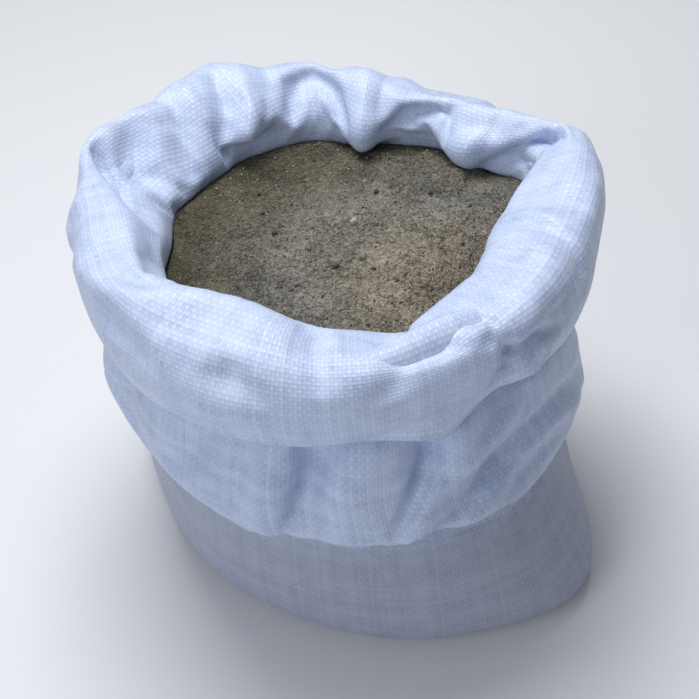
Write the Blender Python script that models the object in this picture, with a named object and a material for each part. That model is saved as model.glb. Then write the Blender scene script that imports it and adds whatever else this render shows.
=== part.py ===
"""An open woven polypropylene sack, its mouth rolled outward into a thick cuff, filled with river sand.

Metres, +Z up. The sack stands on the plane z = 0, and its best known side faces -Y.
Angles are in degrees, counter-clockwise from +X as seen from above."""

import math

import bmesh
import bpy
import numpy as np

# The fabric: a woven tube. The solid wall is thicker than the real 0.2 mm, so that it holds as a solid.
WALL = 0.002
CLEARANCE = 0.0005

# The sack was flat before it was filled. Its two sewn corners lie at the front right and the back left.
SEAM_YAW = -45.0

# This puts the middle of the bounding box over the origin.
MIDDLE = (-0.0010, 0.003)

# How finely the sack and the sand are faceted, and where their shading turns sharp.
COLUMNS = 64
STEPS_PER_RING = 2
SAND_TOP_RINGS = 7
SHARP_ANGLE = 40

# The curve through the rings starts as if it came from a ring this much smaller than the first.
INWARD_RING = 0.9

# The colours of the woven tape, the damp sand and the sewing thread.
FABRIC_COLOUR = (0.72, 0.77, 0.90)
SAND_COLOUR = (0.36, 0.31, 0.23)
THREAD_COLOUR = (0.80, 0.84, 0.93)
FABRIC_ROUGHNESS = 0.55
SAND_ROUGHNESS = 0.95
THREAD_ROUGHNESS = 0.6

# The thread of the bottom seam lies in a groove of the sack, pressed flush by the sand's weight.
SEAM_LENGTH = 0.290
THREAD_WIDTH = 0.0024
THREAD_THICKNESS = 0.0006
THREAD_UNDERSIDE = 0.0001
GROOVE_GAP = 0.0003
CUTTER_START = -0.001

# The sand meets the sack just under the cuff, on this ring, and is heaped in the middle.
SAND_EDGE_RING = 9.0
SAND_HEAP = 0.012
SAND_HEAP_CENTRE = (0.02, -0.03)

# The broad rises and hollows of the sand's top: x, y, spread, rise. They fade out towards its edge.
MOUNDS = [
    (0.045, -0.050, 0.034, 0.005),
    (-0.070, -0.018, 0.030, 0.004),
    (-0.010, -0.030, 0.028, -0.005),
    (0.030, 0.045, 0.030, 0.004),
    (-0.040, 0.050, 0.028, -0.004),
]
MOUND_FADE = 4

# The levels of the sack, from the floor up the outside, over the crest of the cuff and down to its hem.
# Each is an oval in plan: height, half the long axis, half the short axis, centre.
RINGS = [
    (0.000, 0.150, 0.110, (0.004, 0.002)),
    (0.008, 0.176, 0.133, (0.004, 0.002)),
    (0.032, 0.190, 0.145, (0.003, 0.001)),
    (0.080, 0.178, 0.148, (0.002, 0.000)),
    (0.117, 0.164, 0.148, (0.002, 0.000)),
    (0.135, 0.168, 0.158, (-0.002, 0.000)),
    (0.170, 0.162, 0.157, (-0.005, 0.000)),
    (0.205, 0.154, 0.149, (-0.003, 0.000)),
    (0.226, 0.140, 0.137, (0.000, 0.000)),
    (0.248, 0.128, 0.126, (0.000, 0.000)),
    (0.270, 0.119, 0.119, (0.000, 0.000)),
    (0.288, 0.129, 0.129, (0.000, 0.000)),
    (0.298, 0.147, 0.147, (0.000, 0.000)),
    (0.290, 0.165, 0.165, (0.000, 0.000)),
    (0.266, 0.174, 0.174, (0.000, 0.000)),
    (0.240, 0.172, 0.172, (0.000, 0.000)),
    (0.224, 0.163, 0.163, (0.000, 0.000)),
    (0.232, 0.152, 0.152, (0.000, 0.000)),
]

# Where the fabric is pushed from those ovals: ring, spread in rings, angle, spread in degrees, outward, up.
SWELLS = [
    # The back of the mouth is low and flat, and its two back corners stand out.
    (12.5, 3.0, 66, 30, -0.026, -0.014),
    (12.5, 3.0, 118, 16, 0.004, 0.001),
    (13.0, 3.0, 152, 14, 0.001, 0.002),
    (13.0, 3.0, 26, 14, -0.008, -0.010),
    (12.6, 1.5, 171, 13, -0.005, 0.000),
    (13.4, 1.6, 3, 12, 0.004, 0.000),
    (12.3, 1.5, 107, 9, 0.000, -0.007),
    (12.3, 1.2, 121, 6, 0.002, 0.002),
    (12.3, 1.6, 92, 10, 0.000, -0.004),
    (12.3, 1.8, 76, 10, 0.000, 0.005),
    (12.3, 1.8, 44, 12, 0.000, -0.006),
    # There the roll is thin, and its inner side slopes outward from the sand.
    (10.8, 2.0, 162, 15, 0.034, 0.000),
    (10.8, 2.0, 17, 13, 0.026, 0.000),
    (8.8, 1.2, 165, 30, -0.028, 0.000),
    (8.8, 1.3, 95, 38, -0.014, -0.003),
    (8.8, 1.2, 132, 18, -0.004, 0.000),
    (10.5, 1.3, 191, 20, 0.006, 0.000),
    # Lobes hang inside the back of the mouth, with hollows between them.
    (10.6, 0.9, 120, 8, -0.010, -0.004),
    (10.6, 1.2, 95, 9, 0.016, 0.000),
    (10.2, 1.1, 76, 7, -0.012, -0.004),
    (10.4, 0.7, 55, 7, 0.008, 0.000),
    (9.9, 1.0, 37, 8, -0.010, -0.004),
    (9.9, 0.8, 18, 8, 0.008, 0.000),
    # The roll is thick where it closes in on the sand, at the front left and the right, and dips between.
    (10.8, 2.0, 236, 20, -0.014, 0.000),
    (10.8, 2.0, 334, 20, -0.014, 0.000),
    (11.0, 1.3, 213, 16, 0.009, -0.002),
    (11.8, 1.4, 275, 15, 0.002, -0.010),
    (11.8, 1.3, 286, 6, 0.000, -0.004),
    # The cuff is tighter at the two sides, and its lower edge rests higher at the front right.
    (15.0, 2.0, 345, 22, -0.008, 0.004),
    (15.0, 2.0, 195, 20, -0.005, 0.004),
    (15.5, 2.5, 270, 40, 0.000, 0.008),
    (15.7, 2.0, 312, 25, 0.000, 0.010),
    (15.5, 1.8, 291, 14, -0.004, 0.012),
    (15.7, 2.0, 218, 20, 0.000, 0.006),
    # The waist is drawn in on the right, and rises from there to the left.
    (3.4, 1.6, 342, 26, -0.018, 0.000),
    (4.4, 1.4, 200, 20, -0.007, 0.000),
    (6.6, 1.2, 344, 20, 0.005, 0.000),
    (5.5, 0.9, 338, 12, 0.004, 0.000),
    (6.0, 1.2, 192, 16, 0.006, 0.000),
    (2.4, 1.4, 178, 18, -0.006, 0.000),
    (2.2, 1.2, 350, 14, -0.006, 0.000),
    (4.6, 1.4, 208, 34, 0.000, 0.018),
    (4.4, 1.4, 262, 30, 0.000, 0.004),
    (4.2, 1.4, 340, 34, 0.000, -0.010),
    # Hollows run down the belly from under the cuff, and one crease runs up it to the right.
    (6.3, 1.2, 259, 6, -0.012, 0.000),
    (6.5, 1.1, 288, 6, -0.011, 0.000),
    (5.7, 0.5, 306, 11, -0.008, 0.000),
    (6.8, 0.9, 15, 6, -0.010, 0.000),
    (6.8, 0.9, 55, 6, -0.010, 0.000),
    (6.8, 0.9, 101, 6, -0.010, 0.000),
    (6.8, 0.9, 146, 6, -0.010, 0.000),
    (6.9, 0.9, 204, 6, -0.006, 0.000),
    # The sewn corner stands out low at the front right.
    (1.2, 1.1, 319, 15, 0.012, 0.000),
    (0.8, 1.2, 294, 12, -0.004, 0.000),
    (1.4, 1.2, 228, 22, 0.004, 0.000),
    (7.5, 1.5, 190, 20, 0.005, 0.000),
]


def ring_points(angles):
    """Every ring at these angles, as an array of rings by angles by x, y, z."""
    yaw = math.radians(SEAM_YAW)
    levels = []
    for height, long, short, centre in RINGS:
        radius = long * short / np.hypot(short * np.cos(angles - yaw), long * np.sin(angles - yaw))
        x = MIDDLE[0] + centre[0] + radius * np.cos(angles)
        y = MIDDLE[1] + centre[1] + radius * np.sin(angles)
        levels.append(np.stack([x, y, np.full_like(angles, height)], axis=-1))
    return np.array(levels)


def along_rings(points, levels):
    """A smooth curve through the rings, read at these levels, by Catmull and Rom's rule."""
    inner = points[0] * [INWARD_RING, INWARD_RING, 1.0]
    outer = 2 * points[-1] - points[-2]
    padded = np.concatenate([inner[None], points, outer[None]])
    start = np.clip(np.floor(levels).astype(int), 0, len(points) - 2)
    t = (levels - start)[:, None, None]
    a, b, c, d = (padded[start + k] for k in range(4))
    return 0.5 * (2 * b + (c - a) * t + (2 * a - 5 * b + 4 * c - d) * t**2 + (3 * b - a - 3 * c + d) * t**3)


def swell(points, levels, angles):
    """Pushes the surface outward and up where SWELLS says."""
    radial = np.stack([np.cos(angles), np.sin(angles), np.zeros_like(angles)], axis=-1)
    for ring, ring_spread, angle, angle_spread, outward, up in SWELLS:
        turn = (np.degrees(angles) - angle + 180) % 360 - 180
        weight = np.exp(-(((levels[:, None] - ring) / ring_spread) ** 2) - (turn[None, :] / angle_spread) ** 2)
        points = points + weight[..., None] * (outward * radial + np.array([0, 0, up]))
    return points


def sack_surface(levels, angles):
    """The outer face of the fabric as a grid of points, and the grid of its normals."""
    points = swell(along_rings(ring_points(angles), levels), levels, angles)
    across = np.roll(points, -1, axis=1) - np.roll(points, 1, axis=1)
    along = np.gradient(points, axis=0)
    normals = np.cross(across, along)
    normals /= np.linalg.norm(normals, axis=-1, keepdims=True)
    normals[0] = (0, 0, -1)
    return points, normals


def loft(bm, grid):
    """Adds a grid of points as rings of vertices joined by quads, and returns the rings."""
    rings = [[bm.verts.new(p) for p in row] for row in grid]
    for low, high in zip(rings, rings[1:]):
        for i in range(len(low)):
            j = (i + 1) % len(low)
            bm.faces.new([low[i], low[j], high[j], high[i]])
    return rings


def bridge(bm, first, second):
    """Joins two rings of the same number of vertices by quads."""
    for i in range(len(first)):
        j = (i + 1) % len(first)
        bm.faces.new([first[i], first[j], second[j], second[i]])


def make_object(name, bm, colour, roughness):
    """Turns a bmesh into a named, smooth-shaded object with a material of its own."""
    bmesh.ops.recalc_face_normals(bm, faces=bm.faces[:])
    mesh = bpy.data.meshes.new(name)
    bm.to_mesh(mesh)
    bm.free()
    mesh.shade_smooth()
    mesh.set_sharp_from_angle(angle=math.radians(SHARP_ANGLE))
    material = bpy.data.materials.new(name)
    material.use_nodes = True
    shader = material.node_tree.nodes["Principled BSDF"]
    shader.inputs["Base Color"].default_value = (*colour, 1.0)
    shader.inputs["Roughness"].default_value = roughness
    shader.inputs["Metallic"].default_value = 0.0
    mesh.materials.append(material)
    obj = bpy.data.objects.new(name, mesh)
    bpy.context.scene.collection.objects.link(obj)
    return obj


def sampled_levels(last):
    """Levels from the floor to a ring, close enough together for a smooth wall."""
    return np.linspace(0, last, round(last * STEPS_PER_RING) + 1)


def sack_angles():
    return np.radians(np.arange(COLUMNS) * 360 / COLUMNS)


def add_sack():
    """The whole sack, one piece of fabric: floor, wall, the inside of the mouth and the rolled cuff."""
    outer, normals = sack_surface(sampled_levels(len(RINGS) - 1), sack_angles())
    bm = bmesh.new()
    outside = loft(bm, outer)
    inside = loft(bm, outer - WALL * normals)
    bridge(bm, outside[-1], inside[-1])
    bm.faces.new(outside[0])
    bm.faces.new(inside[0])
    return make_object("woven_sack", bm, FABRIC_COLOUR, FABRIC_ROUGHNESS)


def mound_rise(x, y):
    """How far the mounds lift the sand's top at a place."""
    total = 0
    for mound_x, mound_y, spread, rise in MOUNDS:
        total += rise * np.exp(-((x - mound_x) ** 2 + (y - mound_y) ** 2) / spread**2)
    return total


def add_sand():
    """The sand, which fills the sack up to the underside of the cuff and is heaped in the middle."""
    outer, normals = sack_surface(sampled_levels(SAND_EDGE_RING), sack_angles())
    grid = outer - (WALL + CLEARANCE) * normals
    edge = grid[-1]
    centre = np.array([*SAND_HEAP_CENTRE, edge[:, 2].mean() + SAND_HEAP])
    top = []
    for k in range(1, SAND_TOP_RINGS):
        share = k / SAND_TOP_RINGS
        row = edge + (centre - edge) * share
        row[:, 2] = edge[:, 2] + (centre[2] - edge[:, 2]) * math.sin(share * math.pi / 2)
        row[:, 2] += mound_rise(row[:, 0], row[:, 1]) * min(1, share * MOUND_FADE)
        top.append(row)
    bm = bmesh.new()
    rings = loft(bm, np.concatenate([grid, np.array(top)]))
    bm.faces.new(rings[0])
    centre[2] += mound_rise(centre[0], centre[1])
    peak = bm.verts.new(centre)
    for i in range(COLUMNS):
        bm.faces.new([rings[-1][i], rings[-1][(i + 1) % COLUMNS], peak])
    return make_object("river_sand", bm, SAND_COLOUR, SAND_ROUGHNESS)


def box_along_seam(name, length, width, low, high):
    """A thin bar from low to high in height, centred on the bottom and in line with the seam."""
    bm = bmesh.new()
    bmesh.ops.create_cube(bm, size=1.0)
    bmesh.ops.scale(bm, vec=(length, width, high - low), verts=bm.verts)
    bar = make_object(name, bm, THREAD_COLOUR, THREAD_ROUGHNESS)
    bar.location = (*MIDDLE, (low + high) / 2)
    bar.rotation_euler.z = math.radians(SEAM_YAW)
    return bar


def add_seam_thread(sack):
    """The sewing thread of the bottom seam, and the groove that it is pressed into."""
    top = THREAD_UNDERSIDE + THREAD_THICKNESS
    box_along_seam("bottom_seam_thread", SEAM_LENGTH, THREAD_WIDTH, THREAD_UNDERSIDE, top)
    room = 2 * GROOVE_GAP
    cutter = box_along_seam(
        "groove_cutter", SEAM_LENGTH + room, THREAD_WIDTH + room, CUTTER_START, top + GROOVE_GAP
    )
    cutter.hide_render = True
    cutter.display_type = "WIRE"
    groove = sack.modifiers.new("seam_groove", "BOOLEAN")
    groove.operation = "DIFFERENCE"
    groove.solver = "EXACT"
    groove.object = cutter


def main():
    for obj in list(bpy.data.objects):
        bpy.data.objects.remove(obj)
    sack = add_sack()
    add_sand()
    add_seam_thread(sack)


main()
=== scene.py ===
"""Dresses the open sack of river sand: the woven fabric with its folds, the loose sand and its pebbles.

Metres, +Z up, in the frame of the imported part. Angles are in degrees, counter-clockwise from +X seen from above."""

import math

import bmesh
import bpy
import numpy as np
from mathutils import Matrix, Vector


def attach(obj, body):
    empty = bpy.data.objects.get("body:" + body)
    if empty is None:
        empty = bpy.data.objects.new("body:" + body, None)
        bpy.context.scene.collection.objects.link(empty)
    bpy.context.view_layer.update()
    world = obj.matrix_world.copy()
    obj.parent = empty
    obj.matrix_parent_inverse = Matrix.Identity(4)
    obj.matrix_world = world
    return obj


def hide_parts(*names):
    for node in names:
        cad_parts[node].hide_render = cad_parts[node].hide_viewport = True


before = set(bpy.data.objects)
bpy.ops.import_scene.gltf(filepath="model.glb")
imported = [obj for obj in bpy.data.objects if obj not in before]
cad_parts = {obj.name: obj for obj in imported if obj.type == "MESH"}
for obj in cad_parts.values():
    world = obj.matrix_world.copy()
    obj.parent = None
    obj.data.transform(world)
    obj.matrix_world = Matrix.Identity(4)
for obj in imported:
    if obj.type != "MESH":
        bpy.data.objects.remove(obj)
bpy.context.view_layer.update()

# The sack's own shape, from the same named values as the part's source.
SEAM_YAW = -45.0
MIDDLE = (-0.0010, 0.003)
SAND_EDGE_RING = 9.0
RINGS = [
    (0.000, 0.150, 0.110, (0.004, 0.002)),
    (0.008, 0.176, 0.133, (0.004, 0.002)),
    (0.032, 0.190, 0.145, (0.003, 0.001)),
    (0.080, 0.178, 0.148, (0.002, 0.000)),
    (0.117, 0.164, 0.148, (0.002, 0.000)),
    (0.135, 0.168, 0.158, (-0.002, 0.000)),
    (0.170, 0.162, 0.157, (-0.005, 0.000)),
    (0.205, 0.154, 0.149, (-0.003, 0.000)),
    (0.226, 0.140, 0.137, (0.000, 0.000)),
    (0.248, 0.128, 0.126, (0.000, 0.000)),
    (0.270, 0.119, 0.119, (0.000, 0.000)),
    (0.288, 0.129, 0.129, (0.000, 0.000)),
    (0.298, 0.147, 0.147, (0.000, 0.000)),
    (0.290, 0.165, 0.165, (0.000, 0.000)),
    (0.266, 0.174, 0.174, (0.000, 0.000)),
    (0.240, 0.172, 0.172, (0.000, 0.000)),
    (0.224, 0.163, 0.163, (0.000, 0.000)),
    (0.232, 0.152, 0.152, (0.000, 0.000)),
]
SWELLS = [
    # The back of the mouth is low and flat, and its two back corners stand out.
    (12.5, 3.0, 66, 30, -0.026, -0.014),
    (12.5, 3.0, 118, 16, 0.004, 0.001),
    (13.0, 3.0, 152, 14, 0.001, 0.002),
    (13.0, 3.0, 26, 14, -0.008, -0.010),
    (12.6, 1.5, 171, 13, -0.005, 0.000),
    (13.4, 1.6, 3, 12, 0.004, 0.000),
    (12.3, 1.5, 107, 9, 0.000, -0.007),
    (12.3, 1.2, 121, 6, 0.002, 0.002),
    (12.3, 1.6, 92, 10, 0.000, -0.004),
    (12.3, 1.8, 76, 10, 0.000, 0.005),
    (12.3, 1.8, 44, 12, 0.000, -0.006),
    # There the roll is thin, and its inner side slopes outward from the sand.
    (10.8, 2.0, 162, 15, 0.034, 0.000),
    (10.8, 2.0, 17, 13, 0.026, 0.000),
    (8.8, 1.2, 165, 30, -0.028, 0.000),
    (8.8, 1.3, 95, 38, -0.014, -0.003),
    (8.8, 1.2, 132, 18, -0.004, 0.000),
    (10.5, 1.3, 191, 20, 0.006, 0.000),
    # Lobes hang inside the back of the mouth, with hollows between them.
    (10.6, 0.9, 120, 8, -0.010, -0.004),
    (10.6, 1.2, 95, 9, 0.016, 0.000),
    (10.2, 1.1, 76, 7, -0.012, -0.004),
    (10.4, 0.7, 55, 7, 0.008, 0.000),
    (9.9, 1.0, 37, 8, -0.010, -0.004),
    (9.9, 0.8, 18, 8, 0.008, 0.000),
    # The roll is thick where it closes in on the sand, at the front left and the right, and dips between.
    (10.8, 2.0, 236, 20, -0.014, 0.000),
    (10.8, 2.0, 334, 20, -0.014, 0.000),
    (11.0, 1.3, 213, 16, 0.009, -0.002),
    (11.8, 1.4, 275, 15, 0.002, -0.010),
    (11.8, 1.3, 286, 6, 0.000, -0.004),
    # The cuff is tighter at the two sides, and its lower edge rests higher at the front right.
    (15.0, 2.0, 345, 22, -0.008, 0.004),
    (15.0, 2.0, 195, 20, -0.005, 0.004),
    (15.5, 2.5, 270, 40, 0.000, 0.008),
    (15.7, 2.0, 312, 25, 0.000, 0.010),
    (15.5, 1.8, 291, 14, -0.004, 0.012),
    (15.7, 2.0, 218, 20, 0.000, 0.006),
    # The waist is drawn in on the right, and rises from there to the left.
    (3.4, 1.6, 342, 26, -0.018, 0.000),
    (4.4, 1.4, 200, 20, -0.007, 0.000),
    (6.6, 1.2, 344, 20, 0.005, 0.000),
    (5.5, 0.9, 338, 12, 0.004, 0.000),
    (6.0, 1.2, 192, 16, 0.006, 0.000),
    (2.4, 1.4, 178, 18, -0.006, 0.000),
    (2.2, 1.2, 350, 14, -0.006, 0.000),
    (4.6, 1.4, 208, 34, 0.000, 0.018),
    (4.4, 1.4, 262, 30, 0.000, 0.004),
    (4.2, 1.4, 340, 34, 0.000, -0.010),
    # Hollows run down the belly from under the cuff, and one crease runs up it to the right.
    (6.3, 1.2, 259, 6, -0.012, 0.000),
    (6.5, 1.1, 288, 6, -0.011, 0.000),
    (5.7, 0.5, 306, 11, -0.008, 0.000),
    (6.8, 0.9, 15, 6, -0.010, 0.000),
    (6.8, 0.9, 55, 6, -0.010, 0.000),
    (6.8, 0.9, 101, 6, -0.010, 0.000),
    (6.8, 0.9, 146, 6, -0.010, 0.000),
    (6.9, 0.9, 204, 6, -0.006, 0.000),
    # The sewn corner stands out low at the front right.
    (1.2, 1.1, 319, 15, 0.012, 0.000),
    (0.8, 1.2, 294, 12, -0.004, 0.000),
    (1.4, 1.2, 228, 22, 0.004, 0.000),
    (7.5, 1.5, 190, 20, 0.005, 0.000),
]

# The further turn of fabric that the roll hides: height and radius, after the last ring.
HIDDEN_TURN = [(0.252, 0.146), (0.274, 0.146), (0.280, 0.158), (0.262, 0.167), (0.243, 0.164)]

# The fabric's grid, and the coarser one that is simulated.
COLUMNS = 416
ROW_SPACING = 0.0031
SIM_COLUMNS = 208
SIM_ROW_SPACING = 0.0062
BOTTOM_ROWS = 10
TAPE = 0.0028
GIRTH = 1.12

# Where the scene's own crest dips a little further than the part's, in the same form as the swells.
LOBES = [
    (11.5, 1.2, 289, 7, 0.006, -0.007),
    (11.3, 1.0, 282, 6, 0.003, -0.003),
]

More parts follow.
